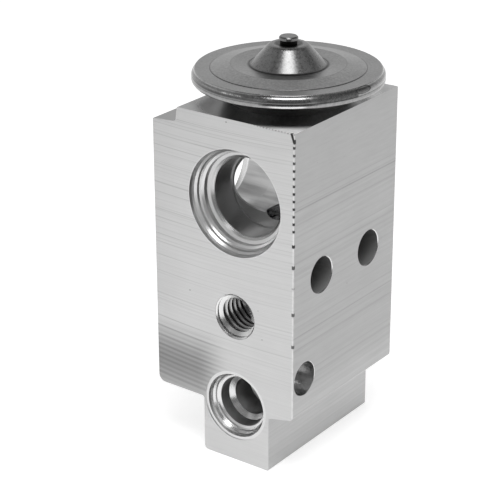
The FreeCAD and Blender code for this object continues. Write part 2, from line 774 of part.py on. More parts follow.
def make_valve_spring():
    """Coil spring with its end turns ground flat."""
    body = new_body("valve_spring")
    sketch = sketch_on(body, "XZ_Plane", "wire_section")
    circle(sketch, "spring_radius", SPRING_FOOT + " + spring_grind", "wire_radius")
    doc.recompute()
    coil = body.newObject("PartDesign::AdditiveHelix", "spring_coil")
    coil.Profile = sketch
    coil.ReferenceAxis = (sketch, ["V_Axis"])
    coil.Mode = "height-turns-angle"
    coil.setExpression("Height", bound("%s - %s - 2 * spring_grind" % (SPRING_TOP, SPRING_FOOT)))
    coil.setExpression("Turns", bound("spring_turns"))
    doc.recompute()
    outer = "spring_radius + 2 * wire_radius"
    ends = [("foot_ground", SPRING_FOOT, SPRING_FOOT + " - 2 * wire_radius"),
            ("top_ground", SPRING_TOP, SPRING_TOP + " + 2 * wire_radius")]
    for name, plane, beyond in ends:
        before = body.Shape.Volume
        ground = sketch_on(body, "XZ_Plane", name)
        outline(ground, [("0", plane), (outer, plane), (outer, beyond), ("0", beyond)])
        revolve(body, "PartDesign::Groove", ground)
        must_remove(body, before, name)
    return body


def make_adjusting_screw():
    """Hollow screw: thread at the foot, seal groove above it and the spring's cup on top."""
    nose = "chamber_radius - screw_nose_clearance"
    groove_floor = "chamber_radius - 2 * screw_seal_section - 2 * seal_gap"
    thread = "screw_bore_radius - thread_clearance"
    shoulder = "screw_setback + screw_thread_length"
    groove = "screw_setback + screw_groove_height"
    top = "screw_setback + screw_length"
    body = turned("adjusting_screw", [
        ("0", "screw_setback"),
        (thread + " - screw_chamfer", "screw_setback"),
        (thread, "screw_setback + screw_chamfer"),
        (thread, shoulder),
        (nose, shoulder),
        (nose, groove),
        (groove_floor, groove),
        (groove_floor, groove + " + screw_groove_width"),
        (nose, groove + " + screw_groove_width"),
        (nose, top),
        ("screw_cup_radius", top),
        ("screw_cup_radius", SPRING_FOOT),
        ("0", SPRING_FOOT)])
    sketch = sketch_on(body, "XY_Plane", "hex_outline", "screw_setback")
    flat = "hex_across_flats / 2"
    corner = "hex_across_flats / sqrt(3)"
    half = "hex_across_flats / sqrt(12)"
    outline(sketch, [(corner, "0"), (half, flat), ("-" + half, flat),
                     ("-" + corner, "0"), ("-" + half, "-" + flat), (half, "-" + flat)])
    before = body.Shape.Volume
    socket = body.newObject("PartDesign::Pocket", "hex_socket")
    socket.Profile = sketch
    socket.Reversed = True
    socket.setExpression("Length", bound("hex_depth"))
    doc.recompute()
    must_remove(body, before, "hex_socket")
    return body


def make_seals():
    """The three O-rings: under the bowl, round the rod and on the adjusting screw."""
    o_ring("element_seal", "neck_radius + thread_clearance + element_seal_section",
           "block_height - element_pocket_depth + element_seal_section + seal_gap",
           "element_seal_section")
    o_ring("rod_seal", "gland_radius - gland_seal_section - seal_gap",
           "gland_floor + gland_seal_lift", "gland_seal_section")
    o_ring("adjuster_seal", "chamber_radius - screw_seal_section - seal_gap",
           "screw_setback + screw_groove_height + 0.5 * screw_groove_width", "screw_seal_section")


def write_parts():
    """Check every object, then write each sub-part under its own name."""
    doc.recompute()
    failed = [item.Label for item in doc.Objects if {"Invalid", "Error"} & set(item.State)]
    if failed:
        raise RuntimeError("failed objects: %s" % failed)
    pieces = [item for item in doc.Objects if item.isDerivedFrom("PartDesign::Body")
              or item.isDerivedFrom("Part::Primitive")]
    pieces = [item for item in pieces if not item.isDerivedFrom("PartDesign::Feature")]
    for piece in pieces:
        shape = piece.Shape
        if shape.isNull() or not shape.isValid() or len(shape.Solids) != 1:
            raise RuntimeError("%s is not one valid solid" % piece.Label)
    os.makedirs("parts", exist_ok=True)
    for piece in pieces:
        piece.Shape.exportStep("parts/%s.step" % piece.Label)
        print("%-16s %9.2f mm3  z %7.2f to %6.2f" % (piece.Label, piece.Shape.Volume,
              piece.Shape.BoundBox.ZMin, piece.Shape.BoundBox.ZMax))


make_valve_block()
make_upper_cover()
make_lower_cover()
make_weld_bead()
make_diaphragm()
make_charge_plug()
make_diaphragm_pad()
make_push_rod()
make_seal_retainer()
make_valve_ball()
make_ball_carrier()
make_damper_spring()
make_valve_spring()
make_adjusting_screw()
make_seals()
write_parts()
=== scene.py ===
import math

import bmesh
import bpy
from bpy.props import FloatProperty, FloatVectorProperty, IntProperty, PointerProperty
from mathutils import Matrix, Vector


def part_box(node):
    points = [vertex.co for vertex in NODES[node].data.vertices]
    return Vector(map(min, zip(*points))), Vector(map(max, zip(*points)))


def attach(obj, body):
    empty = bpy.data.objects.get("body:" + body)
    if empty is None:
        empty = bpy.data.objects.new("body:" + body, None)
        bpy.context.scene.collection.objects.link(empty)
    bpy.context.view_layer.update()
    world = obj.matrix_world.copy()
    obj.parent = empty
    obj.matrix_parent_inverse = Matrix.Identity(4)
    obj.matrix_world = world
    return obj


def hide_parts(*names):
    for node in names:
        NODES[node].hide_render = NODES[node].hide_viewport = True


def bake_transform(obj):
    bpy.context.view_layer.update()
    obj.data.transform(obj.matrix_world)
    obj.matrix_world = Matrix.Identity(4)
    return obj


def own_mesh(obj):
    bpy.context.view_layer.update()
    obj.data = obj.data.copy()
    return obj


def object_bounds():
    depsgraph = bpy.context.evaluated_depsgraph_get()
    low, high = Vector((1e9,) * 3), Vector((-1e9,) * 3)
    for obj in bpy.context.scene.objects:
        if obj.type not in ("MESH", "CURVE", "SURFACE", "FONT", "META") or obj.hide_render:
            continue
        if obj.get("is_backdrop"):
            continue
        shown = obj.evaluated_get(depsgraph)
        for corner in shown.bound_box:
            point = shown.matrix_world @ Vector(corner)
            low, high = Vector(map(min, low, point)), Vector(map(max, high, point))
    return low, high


bl_info = {
    "name": "Expansion Valve",
    "version": (1, 0, 0),
    "blender": (4, 5, 0),
    "location": "View3D > Sidebar > Valve",
    "description": "Finishes, threads and studio for a block expansion valve",
    "category": "Object",
}

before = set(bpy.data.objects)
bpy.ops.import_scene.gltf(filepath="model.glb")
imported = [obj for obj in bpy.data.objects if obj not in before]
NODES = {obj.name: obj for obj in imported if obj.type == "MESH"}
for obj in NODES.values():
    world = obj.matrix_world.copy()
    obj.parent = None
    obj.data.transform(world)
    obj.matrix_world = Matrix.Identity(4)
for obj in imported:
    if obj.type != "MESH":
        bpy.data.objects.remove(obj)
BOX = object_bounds()
MM = 0.001
# Points of a node's mesh that are nearer than this are one point
MERGE = 0.000001

# The block's faces, from its node, and its ledge, foot and holes, in millimetres
LOW, HIGH = (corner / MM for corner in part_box("valve_block"))
LEFT, FRONT = LOW.x, LOW.y
RIGHT, BACK, TOP = HIGH
LEDGE_RIGHT = LEFT + 5.0
LEDGE_HEIGHT = TOP - 3.0
FOOT_SIDE = 7.05
FOOT_TOP = 12.9
SUCTION_HEIGHT = 49.9
SUCTION_RADIUS = 7.2
SUCTION_MOUTH = 9.75
SIDE_RADIUS = 6.85
LAND = FRONT + 9.0
CLAMP_HEIGHT = 28.6
CLAMP_RADIUS = 4.0
LIQUID_HEIGHT = 11.0
LIQUID_RADIUS = 3.62
LIQUID_MOUTH = 6.12
BOLT_HEIGHT = 36.9
BOLT_ACROSS = 7.45
BOLT_RADIUS = 3.3
PIN_HEIGHT = 18.75
PIN_ACROSS = FRONT + 3.55
PIN_RADIUS = 3.15

# The power element's upper plate and the plug's neck, sooty and painted dark as shade, as heights in
# millimetres
PLATE_HEIGHT = 70.3
PLUG_NECK = (75.18, 75.34)


# Sizes and colours

class BlockFinish(bpy.types.PropertyGroup):
    """The aluminium block: sawn ends, extruded skin and machined ports."""
    sawn_colour: FloatVectorProperty(
        name="Sawn ends", description="Metal of the two sawn ends", subtype="COLOR",
        default=(0.56, 0.56, 0.56))
    skin_colour: FloatVectorProperty(
        name="Extruded skin", description="Metal of the drawn sides", subtype="COLOR",
        default=(0.368, 0.368, 0.368))
    port_colour: FloatVectorProperty(
        name="Machined ports", description="Metal of the bored surfaces", subtype="COLOR",
        default=(0.72, 0.72, 0.72))
    saw_pitch: FloatProperty(
        name="Saw pitch", description="Step between two saw marks", unit="LENGTH",
        default=1.354 * MM, precision=5)
    saw_radius: FloatProperty(
        name="Saw radius", description="Radius of the arcs that the saw leaves", unit="LENGTH",
        default=220 * MM, precision=4)
    first_nick: FloatProperty(
        name="First nick", description="Height of the lowest nick of the close row", unit="LENGTH",
        default=47.7 * MM, precision=4)


class ClampThread(bpy.types.PropertyGroup):
    """The M8 thread in the front face."""
    pitch: FloatProperty(
        name="Pitch", description="Thread pitch", unit="LENGTH", default=1.25 * MM, precision=5)
    crest_radius: FloatProperty(
        name="Crest radius", description="Inner radius of the thread", unit="LENGTH",
        default=3.33 * MM, precision=5)
    root_radius: FloatProperty(
        name="Root radius", description="Outer radius of the thread, in the bore's wall",
        unit="LENGTH", default=4.01 * MM, precision=5)
    length: FloatProperty(
        name="Length", description="Threaded length", unit="LENGTH", default=9.2 * MM, precision=4)
    height: FloatProperty(
        name="Height", description="Height of the hole's axis", unit="LENGTH",
        default=CLAMP_HEIGHT * MM, precision=4)
    steps: IntProperty(name="Steps", description="Steps in one turn", default=40, min=8)


class PowerElement(bpy.types.PropertyGroup):
    """The steel power element on top of the block."""
    steel_colour: FloatVectorProperty(
        name="Steel", description="Pressed stainless steel", subtype="COLOR",
        default=(0.34, 0.34, 0.34))
    weld_colour: FloatVectorProperty(
        name="Weld", description="Fused metal of the bead", subtype="COLOR",
        default=(0.42, 0.42, 0.42))
    ripple_count: IntProperty(
        name="Ripples", description="Weld ripples round the rim", default=150, min=20)
    ripple_depth: FloatProperty(
        name="Ripple depth", description="How deep the ripples are", unit="LENGTH",
        default=0.008 * MM, precision=5)
    start_angle: FloatProperty(
        name="Weld start", description="Where the weld starts and ends", subtype="ANGLE",
        default=math.radians(-9))


class StudioStage(bpy.types.PropertyGroup):
    """Camera, lamps and floor."""
    azimuth: FloatProperty(
        name="Azimuth", description="Camera angle round the valve axis", subtype="ANGLE",
        default=math.radians(36.323))
    elevation: FloatProperty(
        name="Elevation", description="Camera angle above the floor", subtype="ANGLE",
        default=math.radians(23.01))
    roll: FloatProperty(
        name="Roll", description="Camera roll", subtype="ANGLE", default=math.radians(-0.181))
    across: FloatProperty(
        name="Across", description="Shift of the origin to the right of the view", unit="LENGTH",
        default=6.869 * MM, precision=5)
    up: FloatProperty(
        name="Up", description="Shift of the origin up the view", unit="LENGTH",
        default=-33.028 * MM, precision=5)
    away: FloatProperty(
        name="Away", description="Distance of the origin along the view", unit="LENGTH",
        default=327.767 * MM, precision=5)
    lens: FloatProperty(name="Lens", description="Focal length in millimetres", default=124.92)
    lamp_level: FloatProperty(name="Lamp level", description="Scale of all lamps", default=1.0, min=0)


# Node helpers

class Field:
    """A value in a node tree, which sums and products take as they take a number."""

    def __init__(self, socket):
        self.socket = socket
        self.tree = socket.id_data

    def __add__(self, other):
        return maths("ADD", self, other)

    def __sub__(self, other):
        return maths("SUBTRACT", self, other)

    def __rsub__(self, other):
        return maths("SUBTRACT", other, self)

    def __mul__(self, other):
        return maths("MULTIPLY", self, other)

    def __truediv__(self, other):
        return maths("DIVIDE", self, other)

    def __pow__(self, other):
        return maths("POWER", self, other)

    def __abs__(self):
        return maths("ABSOLUTE", self)

    def __round__(self):
        return maths("ROUND", self)

    __radd__ = __add__
    __rmul__ = __mul__


def plug(socket, value):
    """Link a field to an input, or set the input to a plain value."""
    if isinstance(value, Field):
        value.tree.links.new(value.socket, socket)
    elif isinstance(value, (tuple, list)) and len(value) == 3 and len(socket.default_value) == 4:
        socket.default_value = (*value, 1)
    else:
        socket.default_value = value


def node(tree, kind, inputs=None, **settings):
    """A node with its settings and its inputs, which are fields or plain values."""
    item = tree.nodes.new(kind)
    for name, setting in settings.items():
        setattr(item, name, setting)
    for key, value in (inputs or {}).items():
        plug(item.inputs[key], value)
    return item


def add(tree, kind, inputs=None, output=0, **settings):
    """One output of a new node, as a field."""
    return Field(node(tree, kind, inputs, **settings).outputs[output])


def maths(operation, *values, clamp=False):
    """A maths node on fields and numbers, at least one of them a field."""
    tree = next(value.tree for value in values if isinstance(value, Field))
    return add(tree, "ShaderNodeMath", dict(enumerate(values)), operation=operation, use_clamp=clamp)


def total(fields):
    """The sum of several fields."""
    result, *others = fields
    for field in others:
        result = result + field
    return result


def most(*fields):
    """The largest of several fields."""
    result, *others = fields
    for field in others:
        result = maths("MAXIMUM", result, field)
    return result


def ramp(value, low, high, to_low=0.0, to_high=1.0, smooth=True):
    """The value mapped from low..high to to_low..to_high, held at both ends."""
    inputs = {"Value": value, "From Min": low, "From Max": high, "To Min": to_low, "To Max": to_high}
    kind = "SMOOTHSTEP" if smooth else "LINEAR"
    return add(value.tree, "ShaderNodeMapRange", inputs, interpolation_type=kind)


def fall(value, low, high):
    """1 below low, 0 above high."""
    return ramp(value, low, high, 1.0, 0.0)


def band(value, low, high, soft=0.05):
    """1 between two limits, each with a soft edge."""
    return fall(value, high - soft, high + soft) * ramp(value, low - soft, low + soft)


def vary(pattern, least, largest, smooth=True):
    """A noise spread out between two values."""
    return ramp(pattern, 0.3, 0.7, least, largest, smooth)


def mix(factor, a, b):
    """The number a where the factor is 0, b where it is 1."""
    return add(factor.tree, "ShaderNodeMix", {0: factor, 2: a, 3: b})


def mix_colour(factor, a, b):
    """The colour a where the factor is 0, b where it is 1."""
    return add(factor.tree, "ShaderNodeMix", {0: factor, 6: a, 7: b}, output=2, data_type="RGBA")


def scaled(vector, factor):
    """A vector or colour times a number."""
    tree = (vector if isinstance(vector, Field) else factor).tree
    return add(tree, "ShaderNodeVectorMath", {0: vector, "Scale": factor}, operation="SCALE")


def distance(*offsets):
    """Length of the vector with the given parts."""
    return maths("SQRT", total([offset * offset for offset in offsets]))


def noise(vector, scale, detail=2.0, roughness=0.5):
    inputs = {"Vector": vector, "Scale": scale, "Detail": detail, "Roughness": roughness}
    return add(vector.tree, "ShaderNodeTexNoise", inputs, output="Fac")


def stretched_noise(vector, stretch, detail=2.0, roughness=0.5):
    """Noise that runs long where its scale along an axis is small."""
    place = add(vector.tree, "ShaderNodeMapping", {"Vector": vector, "Scale": stretch})
    return noise(place, 1.0, detail, roughness)


def line(along, place, width, share=1.0):
    """A thin line: its share at the place, nothing beyond its width."""
    return ramp(abs(along - place), 0.0, width, share, 0.0)


def lines_at(along, table):
    """Thin lines at given places, each with its width and its strength."""
    return total([line(along, *row) for row in table])


def spots_at(across, up, table):
    """Small round pits at given places, each with its radius and its strength."""
    return total([ramp(distance(across - place, up - height), radius * 0.5, radius * 1.3, share, 0.0)
                  for (place, height), radius, share in table])


def millimetres(tree):
    """Object coordinates in millimetres."""
    return scaled(add(tree, "ShaderNodeTexCoord", output="Object"), 1 / MM)


def parts(vector):
    """The three parts of a vector."""
    return [Field(output) for output in node(vector.tree, "ShaderNodeSeparateXYZ", {0: vector}).outputs]


def group(name, inputs, outputs):
    """A node group of floats, and of vectors where no value is given: its inputs and its outputs."""
    tree = bpy.data.node_groups.new(name, "ShaderNodeTree")
    for key, value in inputs.items():
        kind = "NodeSocketVector" if value is None else "NodeSocketFloat"
        socket = tree.interface.new_socket(key, in_out="INPUT", socket_type=kind)
        if value is not None:
            socket.default_value = value
    for key in outputs:
        tree.interface.new_socket(key, in_out="OUTPUT", socket_type="NodeSocketFloat")
    given = {socket.name: Field(socket) for socket in tree.nodes.new("NodeGroupInput").outputs}
    return given, tree.nodes.new("NodeGroupOutput").inputs


def use(name, inputs):
    """The outputs of a group in the tree of its inputs, as fields."""
    tree = next(value.tree for value in inputs.values() if isinstance(value, Field))
    item = node(tree, "ShaderNodeGroup", node_tree=bpy.data.node_groups[name])
    for key, value in inputs.items():
        plug(item.inputs[key], value)
    return {socket.name: Field(socket) for socket in item.outputs}


def material(name, **sockets):
    """A Principled material with its plain values set, its tree and its shader's inputs."""
    made = bpy.data.materials.new(name)
    made.use_nodes = True
    tree = made.node_tree
    shader = next(item for item in tree.nodes if item.type == "BSDF_PRINCIPLED").inputs
    for key, value in sockets.items():
        plug(shader[key], value)
    return made, tree, shader


def bump(shader, height, strength, depth):
    inputs = {"Height": height, "Strength": strength, "Distance": depth * MM}
    plug(shader["Normal"], add(height.tree, "ShaderNodeBump", inputs))


def turning_rings(along, pitch):
    return use("turning_rings", {"Along": along, "Pitch": pitch})["Rings"]


def stepped_lines(along, pitch, width, seed, even=0.0):
    inputs = {"Along": along, "Pitch": pitch, "Width": width, "Seed": seed, "Even": even}
    return use("stepped_lines", inputs)["Lines"]


def build_groups():
    """Effects that several materials share."""
    # Rings left by a turning tool, round the given axis coordinate
    given, result = group("turning_rings", {"Along": 0.0, "Pitch": 0.3}, ["Rings"])
    steps = given["Along"] / given["Pitch"]
    place = add(steps.tree, "ShaderNodeCombineXYZ", {0: steps})
    plug(result["Rings"], noise(place, 1.0, 1.0) * 0.65 + noise(place, 3.1, 2.0) * 0.35)

    # Small specks and cloudy handling marks
    given, result = group("handling", {"Vector": None}, ["Clouds", "Specks"])
    plug(result["Clouds"], noise(given["Vector"], 0.14, 4.0, 0.55))
    plug(result["Specks"], ramp(noise(given["Vector"], 1.7, 3.0, 0.6), 0.74, 0.80))

    # Thin lines at even steps, each with its own strength, or all alike where even is 1
    inputs = {"Along": 0.0, "Pitch": 1.0, "Width": 0.2, "Seed": 0.0, "Even": 0.0}
    given, result = group("stepped_lines", inputs, ["Lines"])
    steps = given["Along"] / given["Pitch"]
    nearest = round(steps)
    away = abs(steps - nearest) * given["Pitch"]
    number = add(steps.tree, "ShaderNodeCombineXYZ", {0: nearest, 1: given["Seed"]})
    chance = add(steps.tree, "ShaderNodeTexWhiteNoise", {"Vector": number}, output="Value",
                 noise_dimensions="3D")
    strength = mix(given["Even"], chance, 1.0)
    plug(result["Lines"], ramp(away / given["Width"], 0.2, 1.0, 1.0, 0.0) * strength)


# Materials

# Height, width and strength of the lines that the saw and the drawing die left, in millimetres
SAW_LINES = [(63.0, 0.13, 0.55), (61.5, 0.13, 0.5), (59.4, 0.14, 0.7), (57.4, 0.13, 0.6), (56.1, 0.13, 0.55),
             (54.3, 0.13, 0.3), (50.4, 0.15, 0.7), (48.6, 0.13, 0.55), (45.4, 0.15, 0.6), (43.8, 0.13, 0.4),
             (40.6, 0.14, 0.55), (39.1, 0.13, 0.4), (36.6, 0.14, 0.55), (33.4, 0.13, 0.5), (29.1, 0.13, 0.45),
             (27.9, 0.13, 0.4), (24.5, 0.15, 0.6), (22.5, 0.14, 0.5)]
DRAWN_LINES = [(52.6, 0.16, 0.45), (51.6, 0.16, 0.35), (51.1, 0.22, 1.0), (48.6, 0.34, 0.4),
               (46.4, 0.28, 0.25), (43.0, 0.22, 0.5), (41.6, 0.26, 0.45), (39.4, 0.5, 0.25),
               (35.4, 0.20, 0.4), (29.5, 0.20, 0.4), (27.6, 0.20, 0.75), (25.2, 0.20, 0.45),
               (24.0, 0.18, 0.3), (19.8, 0.26, 0.4), (18.6, 0.20, 0.25), (12.5, 0.18, 0.3)]
# Height, half length and strength of the wide nicks in the front right edge
EDGE_NICKS = [(45.0, 0.42, 1.0), (41.1, 0.48, 1.0), (37.2, 0.3, 0.2), (32.3, 0.45, 1.0),
              (26.2, 0.42, 1.0)]
# Place, radius and strength of the pits in the front and right faces
FRONT_PITS = [((-1.55, 64.37), 0.13, 0.7), ((-9.93, 31.18), 0.14, 0.6), ((5.05, 31.15), 0.11, 0.45),
              ((5.9, 25.81), 0.12, 0.55)]
SIDE_PITS = [((0.69, 32.37), 0.12, 0.5), ((0.32, 61.4), 0.12, 0.25), ((-9.2, 58.1), 0.09, 0.3)]
# Radius, width and strength of the painted shade in the upper cover's creases
CREASE_SHADE = [(13.65, 0.17, 0.70), (10.1, 0.09, 0.30), (6.85, 0.50, 0.85)]
# Height, width and strength of the painted dark reflections between the bead's highlights
BEAD_DARK_REFLECTIONS = [(70.06, 0.13, 0.7), (69.20, 0.26, 0.85)]
# The weld's end, as a place and half sizes in degrees and millimetres
BLOB_ANGLE, BLOB_HEIGHT = -6.0, 69.75
BLOB_HALF_ANGLE, BLOB_HALF_HEIGHT = 6.0, 0.52


class BlockAreas:
    """Where each kind of surface lies on the block: masks from 0 to 1, with soft edges of 0.1 mm or so."""

    def __init__(self, tree):
        self.vector = millimetres(tree)
        self.x, self.y, self.z = parts(self.vector)
        self.facing = parts(add(tree, "ShaderNodeTexCoord", output="Normal"))
        self.end_facing = ramp(abs(self.facing[1]), 0.9, 0.97)
        self.sawn = ramp(abs(self.y), BACK - 0.10, BACK - 0.04) * self.end_facing
        self.in_view = fall(self.y, -1.0, 1.0)
        self.bolt_away = distance(abs(self.y) - BOLT_ACROSS, self.z - BOLT_HEIGHT)
        self.pin_away = distance(self.y - PIN_ACROSS, self.z - PIN_HEIGHT)
        self.drawn_sides()
        self.side_holes()
        self.suction_port()
        self.clamp_hole()
        self.liquid_port()

    def drawn_sides(self):
        x, z = self.x, self.z
        hole_away = maths("MINIMUM", self.bolt_away, self.pin_away + (BOLT_RADIUS - PIN_RADIUS))
        lip = fall(hole_away, BOLT_RADIUS + 0.2, BOLT_RADIUS + 0.3) * fall(self.facing[0], 0.9, 0.97)
        self.right = ramp(x, RIGHT - 0.12, RIGHT - 0.06, smooth=False) * (1.0 - lip)
        self.left = ramp(x * -1.0, -LEFT - 0.12, -LEFT - 0.06, smooth=False)
        self.top = ramp(z, TOP - 0.10, TOP - 0.04, smooth=False) * ramp(self.facing[2], 0.9, 0.97)
        bottom = fall(z, 0.04, 0.1)
        ledge = ramp(z, LEDGE_HEIGHT - 0.2, LEDGE_HEIGHT - 0.1, smooth=False)
        ledge = ledge * fall(x, LEDGE_RIGHT + 0.6, LEDGE_RIGHT + 0.7)
        foot = ramp(abs(x), FOOT_SIDE - 0.15, FOOT_SIDE - 0.10, smooth=False)
        foot = foot * fall(z, FOOT_TOP - 0.1, FOOT_TOP)
        skin = total([self.right, self.left, self.top, bottom, ledge, foot])
        self.skin = maths("MINIMUM", skin, 1.0) * (1.0 - self.sawn)
        self.bored = (1.0 - self.sawn) - self.skin
        # The top face outside the power element's shadow
        self.clear = ramp(distance(x, self.y), 15.6, 17.9)

    def side_holes(self):
        x = self.x
        self.bolt = fall(self.bolt_away, BOLT_RADIUS + 0.2, BOLT_RADIUS + 0.3) * self.bored
        self.bolt = self.bolt * fall(x, RIGHT - 0.16, RIGHT - 0.12)
        self.pin = fall(self.pin_away, PIN_RADIUS + 0.15, PIN_RADIUS + 0.25) * self.bored
        self.pin = self.pin * ramp(x, RIGHT - 3.5, RIGHT - 3.3) * fall(x, RIGHT - 0.10, RIGHT - 0.06)
        self.flats = ramp(abs(self.facing[0]), 0.9, 0.97) * self.bored * fall(x, -7.0, -6.9)

    def suction_port(self):
        y = self.y
        port_away = distance(self.x, self.z - SUCTION_HEIGHT)
        side_away = distance(y, self.z - SUCTION_HEIGHT)
        wall = band(port_away, SUCTION_RADIUS - 0.35, SUCTION_RADIUS + 0.15)
        self.front_bore = wall * self.bored
        self.side_bore = band(side_away, SIDE_RADIUS - 0.375, SIDE_RADIUS + 0.125, 0.025) * self.bored
        self.land = wall * self.end_facing * ramp(y, LAND - 0.5, LAND - 0.3)
        self.cove = band(port_away, SUCTION_RADIUS + 0.2, SUCTION_MOUTH + 0.55, 0.1) * self.bored
        self.cove = self.cove * fall(y, FRONT + 4.1, FRONT + 4.3)
        self.inner_cove = self.cove * fall(port_away, SUCTION_RADIUS + 1.0, SUCTION_RADIUS + 1.2)
        # A bright ring round the suction port's mouth on the front end: a painted highlight, added to the
        # sawn ends' colour
        self.rim = band(port_away, SUCTION_MOUTH - 0.03, SUCTION_MOUTH + 0.15) * self.sawn * self.in_view

    def clamp_hole(self):
        y = self.y
        away = distance(self.x, self.z - CLAMP_HEIGHT)
        self.thread = fall(away, CLAMP_RADIUS + 0.1, CLAMP_RADIUS + 0.2) * self.bored
        self.thread = self.thread * ramp(y, FRONT + 0.4, FRONT + 3.2)
        self.crest = self.thread * fall(away, CLAMP_RADIUS - 0.6, CLAMP_RADIUS - 0.4)
        self.chamfer = band(away, CLAMP_RADIUS - 0.05, CLAMP_RADIUS + 1.35) * (1.0 - self.sawn)
        self.chamfer = self.chamfer * fall(y, FRONT + 0.03, FRONT + 0.07)

    def liquid_port(self):
        y = self.y
        away = distance(self.x, self.z - LIQUID_HEIGHT)
        wall = ramp(y, FRONT + 2.05, FRONT + 2.20) * fall(y, FRONT + 4.05, FRONT + 4.15) * self.bored
        self.liquid_wall = wall * fall(away, LIQUID_MOUTH - 1.17, LIQUID_MOUTH - 1.07)
        self.liquid_bore = fall(away, LIQUID_RADIUS + 0.08, LIQUID_RADIUS + 0.18) * self.bored
        self.liquid_bore = self.liquid_bore * ramp(y, FRONT + 4.8, FRONT + 5.0)
        self.liquid_spot = band(away, LIQUID_MOUTH + 0.04, LIQUID_MOUTH + 0.68) * (1.0 - self.sawn)
        self.liquid_spot = self.liquid_spot * fall(y, FRONT + 0.20, FRONT + 0.25)


def saw_marks(block, sizes):
    """Shallow arcs that the saw left across the end faces."""
    x, y, z = block.x, block.y, block.z
    twice_radius = 2 * sizes.saw_radius / MM
    pitch = sizes.saw_pitch / MM
    centre = ramp(z, 12.0, 36.0, 6.0, -4.0)
    offset = x - centre
    along = z - offset * offset / twice_radius
    # The strongest lines are placed by their height at the left edge
    strong = lines_at(along + (centre - LEFT) ** 2.0 / twice_radius, SAW_LINES)
    broad = stepped_lines(along, pitch * 0.5, 0.18, 3.0) ** 2.0
    close = stepped_lines(along, pitch * 0.23, 0.14, 11.0)
    chatter = stepped_lines(along, 0.98, 0.40, 27.0, 0.55)
    chatter = chatter * fall(z, 20.5, 25.0) * fall(x, -7.5, 0.5) * ramp(y, -1.0, 1.0, 0.8, 0.0)
    wander = stretched_noise(block.vector, (0.09, 1.0, 0.8))
    past = x - ramp(z, 26.0, 52.0, -7.0, 6.0)
    fade = ramp(wander, 0.3, 0.65, 0.55, 1.0) * ramp(past, -10.0, 8.0, 1.0, 0.22)
    on_block = ramp(z, 10.0, 13.0)
    return total([strong * fade * 1.15, broad * 0.32 * on_block, chatter * on_block,
                  close * 0.14 * ramp(on_block, 0.0, 1.0, 0.4, 1.0)])


def edge_nicks(block, sizes):
    """Nicks that the saw's exit left on the front right and top edges, and a painted highlight along the
    burred front right edge.
    """
    x, y, z = block.x, block.y, block.z
    pitch = sizes.saw_pitch / MM
    step = (z - sizes.first_nick / MM) / pitch
    row = fall(abs(step - round(step)) * pitch, 0.17, 0.30) * band(z, 47.15, 64.05)
    row = maths("MAXIMUM", row, lines_at(z, EDGE_NICKS) * 2.2, clamp=True)
    to_front = y - FRONT
    reach = distance(to_front, RIGHT - x)
    jitter = noise(block.vector, 0.9, 1.0)
    size = ramp(z, 46.0, 48.0, 0.42, 0.34)
    nick = row * fall(reach / size, 0.75, 1.05) * ramp(jitter, 0.32, 0.5, 0.85, 1.0)
    # One cut that leans across the face's upper corner
    slant = abs((x - (RIGHT - 0.35)) + (z - (TOP - 0.7)) * 0.35)
    cut = fall(slant, 0.16, 0.30) * ramp(z, TOP - 1.9, TOP - 1.6) * fall(y, FRONT + 0.3, FRONT + 0.5)
    dashes = stepped_lines(x, 0.62, 0.24, 5.0, 0.4) * fall(distance(to_front, z - TOP), 0.10, 0.26)
    dashes = dashes * ramp(x, 2.0, 7.0) * 0.7
    # Painted highlight along the burred front right edge
    burr_highlight = fall(reach, 0.06, 0.34) * ramp(jitter, 0.35, 0.6, 0.6, 1.0)
    return most(nick, cut, dashes), burr_highlight


def top_tone(block):
    """The top face, with painted light and shade: darker at the left, lighter outside the power element's
    shadow and lightest at the front right corner.
    """
    x, y, top = block.x, block.y, block.top
    # Painted light: the front right corner of the top is lightest
    corner = top * block.clear * ramp(x, 2.0, 9.0) * fall(y, FRONT + 1.0, FRONT + 5.0)
    lit = mix(top * block.clear, mix(top, 1.0, 1.35), ramp(y, -2.0, 2.0, 2.0, 1.45))
    return (1.0 - top * ramp(x, -6.0, 0.0, 0.38, 0.0)) * lit * mix(corner, 1.0, 1.8)


def bore_tone(block):
    """Each bored surface's share of the port colour, with painted shade: darker deeper in the bolt hole and
    lighter towards its bottom, darker deeper along the thread's crests, darker at the left of the thread's
    chamfer and over the suction port's deep bore.
    """
    x, y, z = block.x, block.y, block.z
    tone = mix(block.bolt, 1.0, ramp(x, 7.5, 12.4, 0.22, 0.42) * ramp(z, 34.0, 39.5, 1.2, 0.8))
    streaks = stretched_noise(block.vector, (0.05, 0.5, 0.5), 3.0)
    streaks = ramp(streaks, 0.35, 0.65, 0.72, 1.22, smooth=False)
    chamfer = ramp(x, -4.0, -1.0, 0.38, 0.55)
    crest = ramp(y, -15.0, -9.5, 0.95, 0.35)
    for where, share in ((block.pin, 0.70), (block.flats, 0.60), (block.liquid_spot, 0.88),
                         (block.front_bore, 0.55), (block.side_bore, streaks), (block.land, 0.75),
                         (block.inner_cove, 0.8), (block.chamfer, chamfer), (block.thread, 0.36),
                         (block.crest, crest), (block.liquid_wall, 0.68), (block.liquid_bore, 0.62)):
        tone = mix(where, tone, share)
    return tone


def sawn_tone(block, smear, lines):
    """The sawn ends: a slow gradient, painted shade over the lower left corner, the saw's lines and a painted
    highlight round the suction port's mouth.
    """
    x, z = block.x, block.z
    slow = ramp(x + z * -0.12, -25.0, -10.0, 0.93, 1.0) * ramp(z, 54.0, TOP, 1.0, 0.95)
    shade = block.in_view * fall(z, 16.0, 25.0) * ramp(z, 5.0, 16.0, 0.0, 0.95) * fall(x, -9.0, -1.5)
    smeared = ramp(smear, 0.25, 0.75, 0.965, 1.035, smooth=False)
    return slow * (1.0 - shade * 0.52) * smeared * (1.0 - lines * 0.34) + block.rim * 0.12


